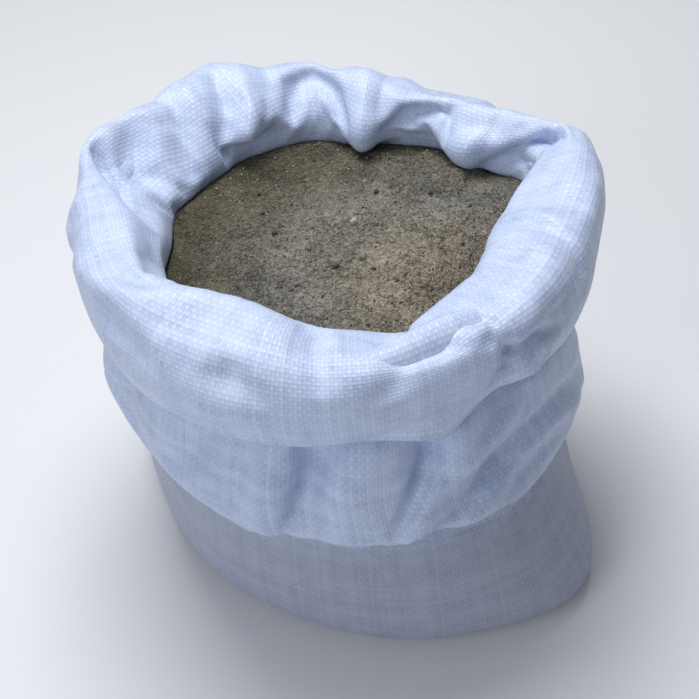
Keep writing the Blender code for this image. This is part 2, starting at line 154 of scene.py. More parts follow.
# Folds, each a route of (angle, ring, rise, reach to smaller angles, reach to larger angles).
# A fold rises or sinks towards the side that shows, and falls away evenly over its reach, which makes facets.
# The two reaches lie as on a map whose rings run upwards, for a route that also runs upwards.
FOLDS = [
    # The belly: a hollow under the cuff that narrows to a crease.
    [(252, 5.00, -0.003, 0.006, 0.008), (254.5, 5.5, -0.004, 0.006, 0.010), (257.5, 6.1, -0.005, 0.008, 0.014),
     (260, 6.7, -0.006, 0.010, 0.016), (262, 7.4, -0.008, 0.012, 0.020)],
    # The belly: a second one on the right, with a steep left side.
    [(277.5, 5.15, -0.003, 0.005, 0.005), (280.5, 5.5, -0.005, 0.007, 0.006), (284.5, 5.9, -0.005, 0.008, 0.008),
     (289, 6.4, -0.005, 0.010, 0.010), (291.5, 7.4, -0.007, 0.014, 0.014)],
    # The belly: a ridge from its apex up to the right, a long crease and a lower ridge beside it.
    [(276.5, 5.0, 0.002, 0.005, 0.007), (282, 5.35, 0.004, 0.007, 0.008), (290, 5.8, 0.005, 0.008, 0.008),
     (302, 6.35, 0.0045, 0.009, 0.009), (313, 6.7, 0.002, 0.009, 0.009)],
    [(286, 4.95, -0.003, 0.006, 0.006), (292, 5.2, -0.005, 0.008, 0.007), (298, 5.45, -0.005, 0.008, 0.008),
     (304.5, 5.7, -0.005, 0.008, 0.009), (313.5, 6.0, -0.005, 0.008, 0.010), (327, 6.1, -0.005, 0.008, 0.010),
     (341, 5.8, -0.003, 0.008, 0.010)],
    [(293, 4.9, 0.002, 0.006, 0.006), (303.5, 5.25, 0.004, 0.008, 0.008), (313, 5.6, 0.004, 0.009, 0.009),
     (326, 5.7, 0.003, 0.009, 0.009), (338, 5.4, 0.002, 0.009, 0.009)],
    # The belly's left: a soft lobe that ends at the first hollow.
    [(246, 5.3, 0.003, 0.020, 0.010), (249, 6.0, 0.005, 0.022, 0.012), (253, 6.7, 0.004, 0.022, 0.010)],
    [(222, 5.6, -0.003, 0.014, 0.014), (228, 6.2, -0.005, 0.014, 0.016), (233, 6.9, -0.005, 0.014, 0.018)],
    [(266, 5.4, 0.002, 0.024, 0.022), (270, 6.1, 0.005, 0.028, 0.022), (274, 6.8, 0.004, 0.026, 0.020)],
    # The belly: crisp edges beside the two hollows, and the full lip above the waist.
    [(249.5, 4.95, 0.002, 0.024, 0.005), (252, 5.6, 0.005, 0.030, 0.006), (254.5, 6.2, 0.006, 0.032, 0.007),
     (255.5, 6.9, 0.005, 0.030, 0.008)],
    [(280, 5.0, 0.002, 0.005, 0.014), (284, 5.45, 0.004, 0.006, 0.016), (289, 5.9, 0.006, 0.007, 0.018),
     (293.5, 6.4, 0.006, 0.008, 0.020), (296, 7.2, 0.005, 0.008, 0.020)],
    [(196, 5.0, 0.002, 0.030, 0.007), (225, 5.0, 0.004, 0.036, 0.007), (250, 4.95, 0.005, 0.038, 0.007),
     (268, 4.95, 0.005, 0.038, 0.007), (284, 5.05, 0.004, 0.032, 0.007), (300, 5.1, 0.002, 0.022, 0.008)],
    # The waist, where the belly stands over the tight band below.
    [(200, 4.3, -0.003, 0.006, 0.012), (225, 4.4, -0.004, 0.006, 0.014), (250, 4.4, -0.005, 0.006, 0.014),
     (268, 4.4, -0.005, 0.006, 0.014), (284, 4.5, -0.003, 0.006, 0.014), (300, 4.5, -0.001, 0.006, 0.014)],
    # The cuff's crest, sharper on the left than on the right.
    [(150, 12.2, 0.001, 0.012, 0.012), (163, 11.8, 0.003, 0.016, 0.014), (170, 11.2, 0.004, 0.018, 0.014),
     (180, 11.0, 0.004, 0.018, 0.016), (192, 11.0, 0.004, 0.016, 0.018), (203, 11.2, 0.003, 0.014, 0.018),
     (216, 11.5, 0.002, 0.012, 0.018), (235, 11.5, 0.002, 0.012, 0.018), (252, 11.7, 0.002, 0.012, 0.018)],
    # The cuff's left: a ridge below a flat facet, and the dip under it.
    [(198, 13.4, 0.003, 0.016, 0.012), (205, 12.9, 0.004, 0.016, 0.012), (212, 12.55, 0.005, 0.016, 0.012),
     (220, 12.15, 0.004, 0.016, 0.012), (229, 11.6, 0.002, 0.014, 0.010)],
    [(196, 12.0, -0.002, 0.012, 0.012), (206, 12.0, -0.003, 0.012, 0.012), (216, 11.7, -0.002, 0.010, 0.010)],
    [(214, 13.6, -0.004, 0.014, 0.018), (222, 13.9, -0.004, 0.016, 0.018)],
    # The cuff's front: two notches in the crest, a dimple and faint facets.
    [(262, 11.4, -0.005, 0.012, 0.010), (262, 12.1, -0.005, 0.012, 0.010), (264, 12.8, -0.002, 0.012, 0.010)],
    [(241, 13.5, -0.002, 0.008, 0.008), (245, 13.4, -0.004, 0.009, 0.009), (250, 13.55, -0.002, 0.008, 0.008)],
    [(236, 14.1, 0.002, 0.014, 0.014), (241, 14.4, 0.004, 0.014, 0.014), (248, 14.3, 0.002, 0.014, 0.014)],
    [(282, 11.6, -0.002, 0.010, 0.008), (282, 12.2, -0.003, 0.010, 0.008), (280, 12.9, -0.003, 0.012, 0.012),
     (276, 13.8, -0.002, 0.014, 0.014)],
    [(290, 11.8, 0.003, 0.010, 0.008), (294, 12.2, 0.004, 0.010, 0.008), (297, 12.7, 0.003, 0.010, 0.007)],
    # The cuff's front right: a crease that ends in a dent, with a small ear beyond it.
    [(295, 11.9, -0.001, 0.008, 0.008), (298, 12.8, -0.002, 0.008, 0.008), (301, 13.5, -0.003, 0.008, 0.008),
     (303, 14.0, -0.007, 0.008, 0.006), (302, 14.5, -0.008, 0.009, 0.006), (300, 15.0, -0.004, 0.008, 0.006)],
    [(304, 13.95, -0.006, 0.006, 0.006), (309, 13.9, -0.007, 0.006, 0.006), (315, 14.1, -0.004, 0.006, 0.006)],
    [(304.5, 15.1, 0.003, 0.006, 0.008), (307, 14.75, 0.007, 0.006, 0.009), (311, 14.45, 0.005, 0.006, 0.008)],
    # The right of the cuff: a broad facet with an edge on its outer side, and a tuck across the roll.
    [(306, 13.5, 0.003, 0.014, 0.018), (312, 12.9, 0.004, 0.016, 0.020), (322, 12.7, 0.004, 0.018, 0.020),
     (336, 12.9, 0.003, 0.018, 0.020), (352, 12.8, 0.003, 0.018, 0.018)],
    [(338, 10.9, -0.003, 0.010, 0.003), (336, 11.6, -0.004, 0.012, 0.003), (333.5, 12.3, -0.004, 0.014, 0.003),
     (330.5, 13.0, -0.003, 0.014, 0.003), (329, 13.5, -0.002, 0.012, 0.003)],
    [(347, 11.6, -0.002, 0.016, 0.016), (345, 12.3, -0.004, 0.016, 0.016)],
    # Inside the back: the sharp fold under the rim's corner, and the edges of the lobes.
    [(121, 12.3, -0.002, 0.006, 0.008), (121.5, 11.7, -0.006, 0.007, 0.010), (123.5, 11.1, -0.008, 0.008, 0.010),
     (128, 10.4, -0.008, 0.008, 0.010), (131, 9.9, -0.004, 0.008, 0.010)],
    [(113, 11.9, 0.003, 0.014, 0.012), (117, 11.0, 0.006, 0.014, 0.012), (122, 10.2, 0.006, 0.012, 0.008)],
    [(110, 9.7, -0.004, 0.006, 0.010), (120, 9.6, -0.006, 0.006, 0.010), (129, 9.6, -0.004, 0.006, 0.010)],
    [(103, 10.2, -0.003, 0.010, 0.008), (99, 11.0, -0.004, 0.012, 0.010), (94, 11.5, -0.004, 0.012, 0.010),
     (88, 11.0, -0.004, 0.010, 0.012), (85, 10.3, -0.003, 0.008, 0.010)],
    [(77, 11.8, 0.003, 0.012, 0.012), (76, 10.6, 0.007, 0.012, 0.012), (77, 9.4, 0.005, 0.010, 0.010)],
    [(66, 10.0, -0.005, 0.010, 0.008), (60, 10.6, -0.006, 0.010, 0.010), (52, 10.9, -0.006, 0.008, 0.010),
     (47, 11.2, -0.007, 0.006, 0.008), (44, 10.4, -0.004, 0.008, 0.010)],
    [(35, 9.1, -0.003, 0.008, 0.008), (48, 9.5, -0.004, 0.008, 0.012), (62, 9.5, -0.003, 0.008, 0.012)],
    [(31, 11.6, -0.002, 0.004, 0.004), (30, 10.8, -0.004, 0.004, 0.004), (29.5, 9.9, -0.002, 0.004, 0.004)],
    [(34, 9.6, 0.004, 0.010, 0.010), (33, 10.4, 0.005, 0.012, 0.010)],
    [(28, 9.4, -0.005, 0.008, 0.008), (21, 10.2, -0.007, 0.010, 0.008), (14, 11.3, -0.007, 0.010, 0.008)],
    # Inside the left: the wall hangs in soft pleats.
    [(161, 11.7, -0.004, 0.006, 0.006), (164, 11.1, -0.007, 0.007, 0.006), (169, 10.5, -0.004, 0.008, 0.006)],
    [(155, 11.9, 0.002, 0.014, 0.014), (157, 11.1, 0.003, 0.016, 0.014), (162, 10.4, 0.002, 0.014, 0.014)],
    [(150, 11.5, -0.003, 0.008, 0.008), (153, 10.8, -0.006, 0.008, 0.008), (159, 10.1, -0.005, 0.008, 0.010)],
    [(144, 12.0, 0.003, 0.012, 0.012), (146, 11.0, 0.004, 0.012, 0.012), (150, 10.3, 0.003, 0.012, 0.012)],
    [(137, 11.6, -0.003, 0.010, 0.010), (141, 10.9, -0.005, 0.012, 0.012), (146, 10.0, -0.004, 0.012, 0.012)],
    [(131, 12.0, 0.003, 0.014, 0.012), (133, 11.0, 0.003, 0.014, 0.012)],
    # The sides and the back of the belly and of the cuff, which the photograph doesn't show.
    [(22, 5.2, -0.003, 0.008, 0.008), (18, 6.2, -0.005, 0.010, 0.014), (13, 7.4, -0.006, 0.012, 0.018)],
    [(50, 5.3, -0.003, 0.008, 0.006), (53, 6.3, -0.005, 0.012, 0.009), (57, 7.4, -0.006, 0.016, 0.012)],
    [(62, 5.0, 0.003, 0.008, 0.008), (70, 5.6, 0.004, 0.009, 0.009), (82, 6.3, 0.003, 0.009, 0.009)],
    [(108, 5.1, -0.003, 0.006, 0.008), (103, 6.2, -0.005, 0.009, 0.012), (99, 7.4, -0.006, 0.012, 0.018)],
    [(141, 5.3, -0.003, 0.008, 0.006), (144, 6.3, -0.005, 0.012, 0.009), (148, 7.4, -0.006, 0.016, 0.012)],
    [(150, 5.1, -0.003, 0.006, 0.008), (162, 5.7, -0.006, 0.008, 0.010), (178, 6.1, -0.006, 0.008, 0.010),
     (192, 5.9, -0.003, 0.008, 0.010)],
    [(201, 6.0, -0.003, 0.010, 0.010), (204, 7.3, -0.004, 0.014, 0.018)],
    [(352, 5.6, -0.002, 0.008, 0.010), (350, 6.4, -0.006, 0.010, 0.014), (346, 7.4, -0.009, 0.012, 0.020)],
    [(4, 4.8, 0.002, 0.008, 0.008), (355, 5.2, 0.004, 0.009, 0.009), (345, 5.3, 0.003, 0.009, 0.009)],
    [(88, 12.6, -0.003, 0.012, 0.012), (86, 13.6, -0.006, 0.014, 0.016), (80, 14.8, -0.004, 0.012, 0.014)],
    [(66, 13.0, 0.003, 0.014, 0.014), (68, 14.2, 0.004, 0.014, 0.014)],
    [(139, 12.9, -0.003, 0.010, 0.012), (136, 14.0, -0.005, 0.012, 0.014), (140, 15.0, -0.004, 0.012, 0.012)],
    [(118, 13.2, 0.003, 0.014, 0.014), (114, 14.3, 0.004, 0.014, 0.014)],
    [(176, 12.9, 0.003, 0.014, 0.012), (178, 13.8, 0.004, 0.014, 0.012), (172, 14.8, 0.003, 0.012, 0.012)],
    [(186, 13.6, -0.003, 0.010, 0.010), (184, 14.6, -0.005, 0.010, 0.010)],
    [(38, 12.7, -0.003, 0.010, 0.012), (36, 13.8, -0.006, 0.012, 0.014), (41, 14.9, -0.004, 0.012, 0.012)],
    [(14, 13.0, 0.003, 0.014, 0.014), (12, 14.0, 0.004, 0.014, 0.012)],
]
FOLD_CREST = 0.0022
FOLD_BASE = 0.25
FLIP_RING = 8.3

# The photograph's camera.
CAMERA_ELEVATION = 45.0
CAMERA_DISTANCE = 1.10
CAMERA_TARGET = (MIDDLE[0], MIDDLE[1], 0.145)
CAMERA_ROLL = 5.0
PHOTO_SIDE = 699
PHOTO_FOCAL = 1560
SENSOR = 36.0


# The surface

def catmull_rom(points, levels):
    """A smooth curve through points, read at these levels."""
    inner = points[0] * [0.9, 0.9, 1.0]
    outer = 2 * points[-1] - points[-2]
    padded = np.concatenate([inner[None], points, outer[None]])
    start = np.clip(np.floor(levels).astype(int), 0, len(points) - 2)
    t = (levels - start)[:, None, None]
    a, b, c, d = (padded[start + k] for k in range(4))
    return 0.5 * (2 * b + (c - a) * t + (2 * a - 5 * b + 4 * c - d) * t**2 + (3 * b - a - 3 * c + d) * t**3)


def ring_points(angles):
    """Every ring at these angles, the hidden turn among them."""
    yaw = math.radians(SEAM_YAW)
    rings = RINGS + [(height, radius, radius, (0.0, 0.0)) for height, radius in HIDDEN_TURN]
    levels = []
    for height, long, short, centre in rings:
        radius = long * short / np.hypot(short * np.cos(angles - yaw), long * np.sin(angles - yaw))
        x = MIDDLE[0] + centre[0] + radius * np.cos(angles)
        y = MIDDLE[1] + centre[1] + radius * np.sin(angles)
        levels.append(np.stack([x, y, np.full_like(angles, height)], axis=-1))
    return np.array(levels)


def turned(angles, angle):
    """How far each angle, in radians, is from one in degrees, from -180 to 180 degrees."""
    return (np.degrees(angles) - angle + 180) % 360 - 180


def base_surface(levels, angles):
    """The sack's smooth outer face at these levels and angles. The hidden turn swells with the rings beside it."""
    points = catmull_rom(ring_points(angles), levels)
    radial = np.stack([np.cos(angles), np.sin(angles), np.zeros_like(angles)], axis=-1)
    beside = np.minimum(levels, 2 * (len(RINGS) - 1) - levels)
    for ring, ring_spread, angle, angle_spread, outward, up in SWELLS + LOBES:
        away = ((beside[:, None] - ring) / ring_spread) ** 2 + (turned(angles, angle)[None, :] / angle_spread) ** 2
        points = points + np.exp(-away)[..., None] * (outward * radial + np.array([0, 0, up]))
    return points


def normals_of(points):
    """Outward normals of a grid whose rows close on themselves."""
    across = np.roll(points, -1, axis=1) - np.roll(points, 1, axis=1)
    along = np.gradient(points, axis=0)
    normals = np.cross(across, along)
    return normals / np.linalg.norm(normals, axis=-1, keepdims=True)


def row_levels(spacing):
    """Levels from the floor to the hidden end of the fabric, about this far apart along the fabric."""
    last = len(RINGS) + len(HIDDEN_TURN) - 1
    fine = np.linspace(0, last, last * 24 + 1)
    lengths = arc_lengths(base_surface(fine, np.radians(np.arange(0, 360, 15))))
    rows = round(lengths[-1] / spacing)
    return np.interp(np.linspace(0, lengths[-1], rows + 1), lengths, fine)


def arc_lengths(points):
    """How far along the fabric each row lies from the first, averaged over the angles."""
    steps = np.linalg.norm(np.diff(points, axis=0), axis=-1).mean(axis=1)
    return np.concatenate([[0.0], np.cumsum(steps)])


def angles_of(columns):
    return np.radians(np.arange(columns) * 360 / columns)


def smooth_noise(shape, cells, rng, stretch=1.0):
    """Smooth random values in about -1 to 1 on a grid that closes on itself across, with this many cells around."""
    rows, columns = shape
    high = max(4, round(cells * rows / columns * stretch))
    coarse = rng.standard_normal((high + 3, cells))
    y = np.linspace(0, high - 1e-6, rows)
    x = np.arange(columns) * cells / columns
    iy, ix = np.floor(y).astype(int), np.floor(x).astype(int)
    fy, fx = (y - iy)[:, None], (x - ix)[None, :]
    wy, wx = cubic_weights(fy), cubic_weights(fx)
    total = np.zeros(shape)
    for j in range(4):
        for i in range(4):
            total += wy[j] * wx[i] * coarse[np.ix_(np.clip(iy + j, 0, high + 2), (ix + i - 1) % cells)]
    return total


def cubic_weights(t):
    """The four weights of a cubic B-spline."""
    return (1 - t) ** 3 / 6, (3 * t**3 - 6 * t**2 + 4) / 6, (-3 * t**3 + 3 * t**2 + 3 * t + 1) / 6, t**3 / 6


# The folds

def fold_rise(levels, angles, points):
    """How far the folds push each point of the surface towards the side that shows."""
    distance_along = arc_lengths(points)
    radius = np.linalg.norm(points[..., :2] - np.array(MIDDLE), axis=-1).mean(axis=1)
    rise = np.zeros(points.shape[:2])
    for route in FOLDS:
        nearest = np.full(rise.shape, 1e9)
        side = np.zeros(rise.shape)
        traits = np.zeros((3, *rise.shape))
        for start, end in zip(route, route[1:]):
            scale = np.interp((start[1] + end[1]) / 2, levels, radius)
            row = distance_along[:, None] - np.interp(start[1], levels, distance_along)
            column = np.radians(turned(angles, start[0]))[None, :] * scale
            run = math.radians((end[0] - start[0] + 180) % 360 - 180) * scale
            climb = np.interp(end[1], levels, distance_along) - np.interp(start[1], levels, distance_along)
            share = np.clip((column * run + row * climb) / (run**2 + climb**2), 0, 1)
            apart = np.hypot(column - share * run, row - share * climb)
            closer = apart < nearest
            side = np.where(closer, run * row - climb * column, side)
            for k in range(3):
                traits[k] = np.where(closer, start[k + 2] + share * (end[k + 2] - start[k + 2]), traits[k])
            nearest = np.where(closer, apart, nearest)
        reach = np.where(side > 0, traits[1], traits[2])
        rise += traits[0] * facet(nearest, reach)
    return rise


def facet(distance, reach):
    """1 at a fold's line, and evenly down to 0 at its reach, with both ends of the slope rounded off."""
    slope = 1 - (np.hypot(distance, FOLD_CREST) - FOLD_CREST) / reach
    rounded = (slope + FOLD_BASE) ** 2 / (4 * FOLD_BASE)
    return np.where(slope > FOLD_BASE, slope, np.where(slope > -FOLD_BASE, rounded, 0))


def shown_side(levels):
    """1 where the fabric's outer face shows, and -1 where the cuff has turned it inside out."""
    return np.where(levels < FLIP_RING, 1.0, -1.0)


def crinkle(levels, shape, rng):
    """Small creases all over, strongest on the cuff and weakest on the tight band by the floor."""
    strength = np.interp(levels, [0, 3, 4.5, 6, 9, 12, 15, 17], [0.1, 0.15, 0.5, 0.6, 1.0, 0.8, 0.7, 0.3])
    broad = smooth_noise(shape, 46, rng, 1.3)
    sharp = 0.6 - np.abs(smooth_noise(shape, 70, rng, 1.6))
    fine = 0.5 - np.abs(smooth_noise(shape, 130, rng, 1.4))
    return strength[:, None] * (0.0010 * broad + 0.0007 * sharp + 0.0003 * fine)


# The cloth

def simulate(levels, angles, points):
    """Lets the fabric buckle as loose cloth does, and returns how far each point moved, with a limit."""
    obj = grid_object("sim_fabric", points)
    mesh = obj.data
    rows, columns = points.shape[:2]
    hold = np.interp(levels, [0, 1.5, 3.5, 5, 7, 9, 12, 16, 17, 18, 23], [1, 0.6, 0.3, 0.05, 0.06, 0.25, 0.05, 0.08, 0.3, 1, 1])
    loose = np.interp(levels, [0, 3, 4.5, 6, 9, 12, 16, 18], [0, 0.1, 0.5, 0.6, 1.0, 0.8, 0.7, 0])
    pin = obj.vertex_groups.new(name="hold")
    slack = obj.vertex_groups.new(name="slack")
    for row in range(rows):
        members = list(range(row * columns, (row + 1) * columns))
        pin.add(members, float(hold[row]), "REPLACE")
        slack.add(members, float(loose[row]), "REPLACE")
    cloth = obj.modifiers.new("cloth", "CLOTH")
    settings = cloth.settings
    settings.quality = 5
    settings.mass = 0.2
    settings.tension_stiffness = 30
    settings.compression_stiffness = 30
    settings.shear_stiffness = 10
    settings.bending_stiffness = 0.6
    settings.vertex_group_mass = "hold"
    settings.pin_stiffness = 0.5
    settings.vertex_group_shrink = "slack"
    settings.shrink_min = 0.0
    settings.shrink_max = -0.05
    settings.use_pressure = True
    settings.uniform_pressure_force = 0.3
    settings.effector_weights.gravity = 0.1
    scene = bpy.context.scene
    scene.frame_start = 1
    scene.frame_end = SIM_FRAMES
    cloth.point_cache.frame_start = 1
    cloth.point_cache.frame_end = SIM_FRAMES
    for number in range(1, SIM_FRAMES + 1):
        scene.frame_set(number)
    evaluated = obj.evaluated_get(bpy.context.evaluated_depsgraph_get())
    moved = np.empty(rows * columns * 3)
    evaluated.data.vertices.foreach_get("co", moved)
    shift = moved.reshape(rows, columns, 3) - points
    bpy.data.objects.remove(obj)
    bpy.data.meshes.remove(mesh)
    scene.frame_set(1)
    shift = shift - blurred(shift, SIM_BLUR)
    length = np.linalg.norm(shift, axis=-1, keepdims=True)
    return shift * (SIM_REACH * np.tanh(length / SIM_REACH) / np.maximum(length, 1e-9))


def blurred(field, steps):
    """A field on the grid, smoothed this many times over its neighbours."""
    for _ in range(steps):
        field = (np.roll(field, 1, axis=1) + 2 * field + np.roll(field, -1, axis=1)) / 4
        taller = np.concatenate([field[:1], field, field[-1:]])
        field = (taller[:-2] + 2 * field + taller[2:]) / 4
    return field


def resample(field, levels_from, levels_to, columns):
    """Reads a field on the coarse grid at the fine grid's points, smoothly."""
    rows = np.interp(levels_to, levels_from, np.arange(len(levels_from)))
    low = np.clip(np.floor(rows).astype(int), 0, len(levels_from) - 2)
    t = (rows - low)[:, None, None]
    picks = [np.clip(low + k, 0, len(levels_from) - 1) for k in (-1, 0, 1, 2)]
    tall = hermite([field[p] for p in picks], t)
    steps = np.arange(columns) * field.shape[1] / columns
    left = np.floor(steps).astype(int)
    s = (steps - left)[None, :, None]
    return hermite([tall[:, (left + k) % field.shape[1]] for k in (-1, 0, 1, 2)], s)


def hermite(values, t):
    """Catmull and Rom's curve between the second and third of four values."""
    a, b, c, d = values
    return 0.5 * (2 * b + (c - a) * t + (2 * a - 5 * b + 4 * c - d) * t**2 + (3 * b - a - 3 * c + d) * t**3)


# Meshes

def grid_object(name, points):
    """A mesh of quads from a grid of points whose rows close on themselves."""
    rows, columns = points.shape[:2]
    index = np.arange(rows * columns).reshape(rows, columns)
    right = np.roll(index, -1, axis=1)
    faces = np.stack([index[:-1], right[:-1], right[1:], index[1:]], axis=-1).reshape(-1, 4)
    mesh = bpy.data.meshes.new(name)
    mesh.vertices.add(rows * columns)
    mesh.vertices.foreach_set("co", points.reshape(-1))
    mesh.loops.add(faces.size)
    mesh.loops.foreach_set("vertex_index", faces.reshape(-1))
    mesh.polygons.add(len(faces))
    mesh.polygons.foreach_set("loop_start", np.arange(0, faces.size, 4))
    mesh.polygons.foreach_set("use_smooth", np.ones(len(faces), bool))
    mesh.update(calc_edges=True)
    mesh.validate()
    obj = bpy.data.objects.new(name, mesh)
    bpy.context.scene.collection.objects.link(obj)
    return obj


def add_uv(mesh, name, columns, across, along):
    """Adds a UV map to a grid mesh: across for each column, and along for each row."""
    layer = mesh.uv_layers.new(name=name)
    count = len(mesh.polygons)
    rows = np.arange(count) // columns
    column = np.arange(count) % columns
    corners = [(0, 0), (0, 1), (1, 1), (1, 0)]
    uv = np.empty((count, 4, 2))
    for k, (down, side) in enumerate(corners):
        uv[:, k, 0] = across[column + side]
        uv[:, k, 1] = along[rows + down]
    layer.data.foreach_set("uv", uv.reshape(-1))


def bottom_rows(edge):
    """Rows from the middle of the sack's flat bottom out to its first ring."""
    centre = np.array([MIDDLE[0], MIDDLE[1], BOTTOM_LIFT])
    shares = (np.arange(BOTTOM_ROWS) + 0.02) / BOTTOM_ROWS
    rows = centre + (edge - centre) * shares[:, None, None]
    rows[..., 2] = BOTTOM_LIFT * (1 - shares[:, None] ** 4)
    return rows


def make_fabric():
    """The whole sack as one sheet of fabric, with its levels and grid of points."""
    rng = np.random.default_rng(7)
    levels, angles = row_levels(ROW_SPACING), angles_of(COLUMNS)
    points = dressed(levels, angles)
    sim_levels, sim_angles = row_levels(SIM_ROW_SPACING), angles_of(SIM_COLUMNS)
    shift = simulate(sim_levels, sim_angles, dressed(sim_levels, sim_angles))
    points = points + resample(shift, sim_levels, levels, COLUMNS)
    points = points + crinkle(levels, points.shape[:2], rng)[..., None] * normals_of(points)
    points[..., 2] = np.maximum(points[..., 2], 0.0002)
    whole = np.concatenate([bottom_rows(points[0]), points])
    obj = grid_object("sack_fabric", whole)
    along = arc_lengths(whole)
    columns = np.arange(COLUMNS + 1) / COLUMNS
    add_uv(obj.data, "OFBake", COLUMNS, columns, along / along[-1])
    add_uv(obj.data, "Weave", COLUMNS, columns * GIRTH, along)
    waist = float(np.interp(WAIST_RING, levels, along[BOTTOM_ROWS:]))
    return obj, levels, points, waist


def dressed(levels, angles):
    """The smooth surface, at the middle of the fabric's wall, with its folds."""
    points = base_surface(levels, angles)
    normals = normals_of(points)
    normals[0] = (0, 0, -1)
    proud = np.interp(levels, [0, FLIP_RING - 0.3, FLIP_RING + 0.3, 23], [-0.0006, -0.0006, -0.0014, -0.0014])
    rise = fold_rise(levels, angles, points) * shown_side(levels)[:, None] + proud[:, None]
    return points + rise[..., None] * normals


SIM_FRAMES = 22
SIM_BLUR = 40
SIM_REACH = 0.007
BOTTOM_LIFT = 0.0016
WAIST_RING = 4.5


# The bottom seam, a row of chain stitches along the middle of the bottom
SEAM_LENGTH = 0.290
STITCH_PITCH = 0.0062
STITCH_WIDTH = 0.0024
THREAD_RADIUS = 0.00034
SEAM_HEIGHT = 0.0006


def make_stitches():
    """Each stitch is a flat loop of thread that starts inside the one before it."""
    count = round(SEAM_LENGTH / STITCH_PITCH)
    around, section = 14, 5
    turn = np.arange(around) * 2 * math.pi / around
    loop = np.column_stack([
        STITCH_PITCH * 0.66 * np.cos(turn),
        STITCH_WIDTH / 2 * np.sin(turn) * (1 - 0.35 * np.cos(turn)),
        0.00012 * np.cos(turn),
    ])
    ahead = np.roll(loop, -1, axis=0) - np.roll(loop, 1, axis=0)
    side = np.cross(ahead, (0, 0, 1))
    side /= np.linalg.norm(side, axis=1, keepdims=True)
    ring = np.arange(section) * 2 * math.pi / section
    tube = loop[:, None] + THREAD_RADIUS * (
        np.cos(ring)[None, :, None] * side[:, None] + np.sin(ring)[None, :, None] * np.array([0, 0, 1.0])
    )
    yaw = math.radians(SEAM_YAW)
    along = np.array([math.cos(yaw), math.sin(yaw), 0])
    across = np.array([-math.sin(yaw), math.cos(yaw), 0])
    verts, faces = [], []
    for k in range(count):
        start = (k + 0.5 - count / 2) * STITCH_PITCH
        base = len(verts)
        for point in tube.reshape(-1, 3):
            flat = (start + point[0]) * along + point[1] * across
            verts.append((MIDDLE[0] + flat[0], MIDDLE[1] + flat[1], SEAM_HEIGHT + point[2]))
        for i in range(around):
            for j in range(section):
                a, b = base + i * section, base + (i + 1) % around * section
                faces.append((a + j, b + j, b + (j + 1) % section, a + (j + 1) % section))
    mesh = bpy.data.meshes.new("seam_stitches")
    mesh.from_pydata(verts, [], faces)
    mesh.shade_smooth()
    obj = bpy.data.objects.new("seam_stitches", mesh)
    bpy.context.scene.collection.objects.link(obj)
    return obj


# The sand

SAND_COLUMNS = 300
SAND_ROWS = 100
SAND_SIDE_ROWS = 40
SAND_INSET = 0.0012
SAND_SIDE_INSET = 0.018
SAND_SIDE_BLUR = 12
SAND_HEAP = 0.012
SAND_HEAP_CENTRE = (0.02, -0.03)
STONE_RISE = 0.16
SMALL_PEBBLES = 80
GRAINS = 2600

# The pebbles that stand out: x, y, size, shade from dark to light.
PEBBLES = [
    (0.026, 0.035, 0.0042, 0.02),
    (0.062, 0.033, 0.0036, 0.05),
    (0.009, 0.008, 0.0056, 0.95),
    (0.013, -0.028, 0.0070, 0.62),
    (-0.043, 0.004, 0.0040, 0.10),
    (-0.051, 0.028, 0.0038, 0.15),
    (-0.030, -0.085, 0.0044, 0.20),
    (0.087, 0.019, 0.0040, 0.12),
    (-0.005, -0.030, 0.0050, 0.18),
    (0.020, -0.096, 0.0040, 0.25),
]
MOUNDS = [
    (0.045, -0.050, 0.034, 0.005),
    (-0.070, -0.018, 0.030, 0.004),
    (-0.010, -0.030, 0.028, -0.005),
    (0.030, 0.045, 0.030, 0.004),
    (-0.040, 0.050, 0.028, -0.004),
]


def make_sand(levels, fabric_points):
    """The body of sand: its top is worked finely, and its hidden side follows the fabric that holds it."""
    rng = np.random.default_rng(11)
    side_levels = np.linspace(0.6, SAND_EDGE_RING, SAND_SIDE_ROWS)
    side = resample(fabric_points, levels, side_levels, SAND_COLUMNS)
    edge = side[-1] - SAND_INSET * normals_of(side)[-1]
    side = blurred(side, SAND_SIDE_BLUR)
    side = side - SAND_SIDE_INSET * normals_of(side)
    side[-1] = edge
    centre = np.array([*SAND_HEAP_CENTRE, edge[:, 2].mean() + SAND_HEAP])
    shares = (np.arange(1, SAND_ROWS) / SAND_ROWS)[:, None, None]
    top = edge + (centre - edge) * shares
    rise = np.sin(shares[..., 0] * math.pi / 2)
    top[..., 2] = edge[:, 2] + (centre[2] - edge[:, 2]) * rise
    top[..., 2] += sand_relief(top[..., 0], top[..., 1], rng) * np.clip(shares[..., 0] * 12, 0.2, 1)
    grid = np.concatenate([side, top])
    obj = grid_object("sand_body", grid)
    close_ends(obj.data, SAND_COLUMNS, len(grid))
    return obj, top.reshape(-1, 3)


def random_turns(count, rng):
    """This many random rotation matrices."""
    turns, _ = np.linalg.qr(rng.standard_normal((count, 3, 3)))
    return turns


def unit_stone(subdivisions):
    """The vertices and triangles of a unit icosphere."""
    bm = bmesh.new()
    bmesh.ops.create_icosphere(bm, subdivisions=subdivisions, radius=1.0)
    verts = np.array([v.co[:] for v in bm.verts])
    faces = np.array([[v.index for v in face.verts] for face in bm.faces])
    bm.free()
    return verts, faces


